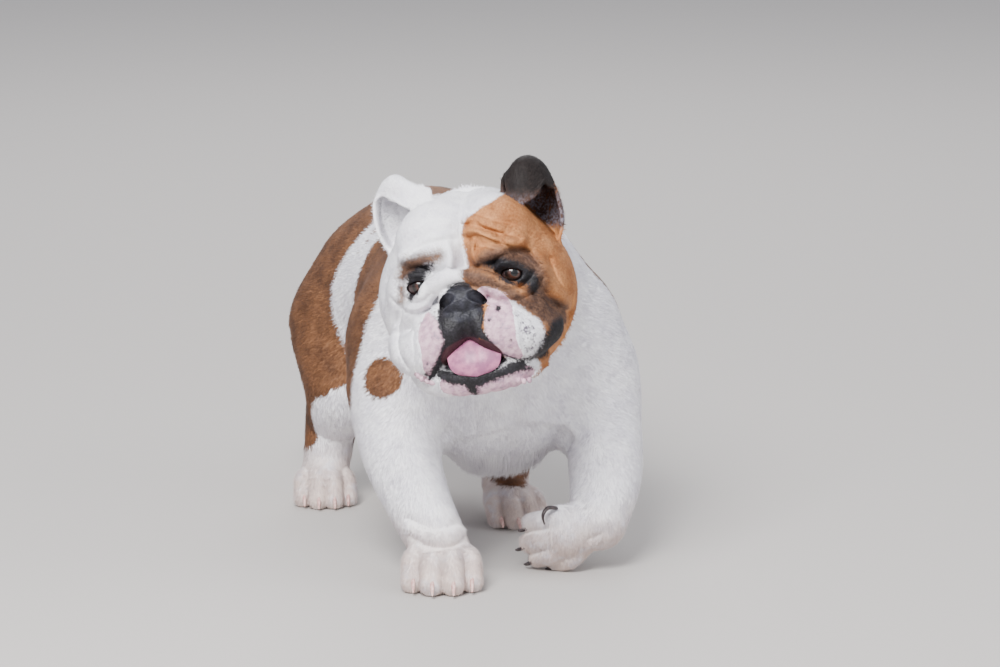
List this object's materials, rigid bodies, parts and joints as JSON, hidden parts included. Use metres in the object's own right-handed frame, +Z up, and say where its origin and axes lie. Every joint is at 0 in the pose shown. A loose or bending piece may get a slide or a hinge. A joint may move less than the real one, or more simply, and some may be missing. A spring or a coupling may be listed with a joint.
{
  "type": "english bulldog figure",
  "caption": "Life-size still model of an English bulldog in mid walk, head turned to its right, tongue showing.",
  "frame": {"origin": "middle of the footprint of the whole animal, on the floor", "axes": "+Z up, -Y the way the dog walks, +X its left side"},
  "size_m": [0.3316, 0.6842, 0.4569],
  "materials": {
    "body_coat": "short flat fur, white with tan patches",
    "head_coat": "very short fur, white on one side and tan on the other, pink and black lips",
    "nose_skin": "moist black pebbled skin",
    "tongue": "moist pink, finely grained",
    "eye": "wet, dark brown iris under a clear bulge",
    "claw": "smooth horn, pink on most paws and black on the lifted one",
    "lip_skin": "bare moist lip skin, pink and black"
  },
  "bodies": {
    "root": {"torso": "body_coat", "neck": "body_coat", "tail": "body_coat", "foreleg_right": "body_coat", "foreleg_left": "body_coat", "hindleg_left": "body_coat", "hindleg_right": "body_coat", "paw_fore_right": "body_coat", "paw_fore_left": "body_coat", "paw_hind_left": "body_coat", "paw_hind_right": "body_coat", "head": "head_coat", "ear_left": "head_coat", "ear_right": "head_coat", "nose": "nose_skin", "tongue": "tongue", "eye_left": "eye", "eye_right": "eye"}
  },
  "joints": []
}
